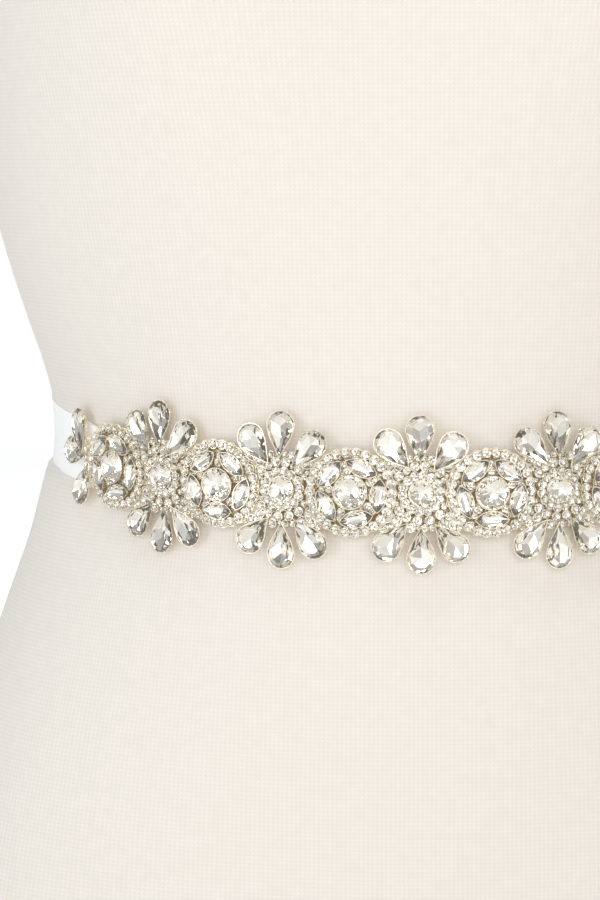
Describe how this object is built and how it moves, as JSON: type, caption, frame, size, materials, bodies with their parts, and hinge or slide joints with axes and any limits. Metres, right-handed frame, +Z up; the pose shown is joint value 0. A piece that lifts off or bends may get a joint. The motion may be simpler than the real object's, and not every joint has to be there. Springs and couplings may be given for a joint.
{
  "type": "sash belt on dress form",
  "caption": "Narrow satin ribbon sash with a jewelled front of flowers and medallions, knotted at the back round a limbless dress form that stands on its flat base.",
  "frame": {"origin": "on the floor, on the middle line of the dress form's flat base", "axes": "+Z up, -Y the wearer's front, +X the wearer's left"},
  "size_m": [0.344, 0.2386, 0.712],
  "materials": {
    "ivory_jersey": "matt fine knit",
    "white_satin": "soft satin sheen",
    "crystal_in_silver": "faceted foil-backed stones in silver settings"
  },
  "bodies": {
    "root": {"dress_form": "ivory_jersey", "ribbon_band": "white_satin", "ribbon_knot": "white_satin", "ribbon_tail_left": "white_satin", "ribbon_tail_right": "white_satin", "flower_1": "crystal_in_silver", "flower_2": "crystal_in_silver", "flower_3": "crystal_in_silver", "flower_4": "crystal_in_silver", "flower_5": "crystal_in_silver", "medallion_1": "crystal_in_silver", "medallion_2": "crystal_in_silver", "medallion_3": "crystal_in_silver", "medallion_4": "crystal_in_silver", "medallion_5": "crystal_in_silver", "medallion_6": "crystal_in_silver", "spray_left": "crystal_in_silver", "spray_right": "crystal_in_silver"}
  },
  "joints": []
}
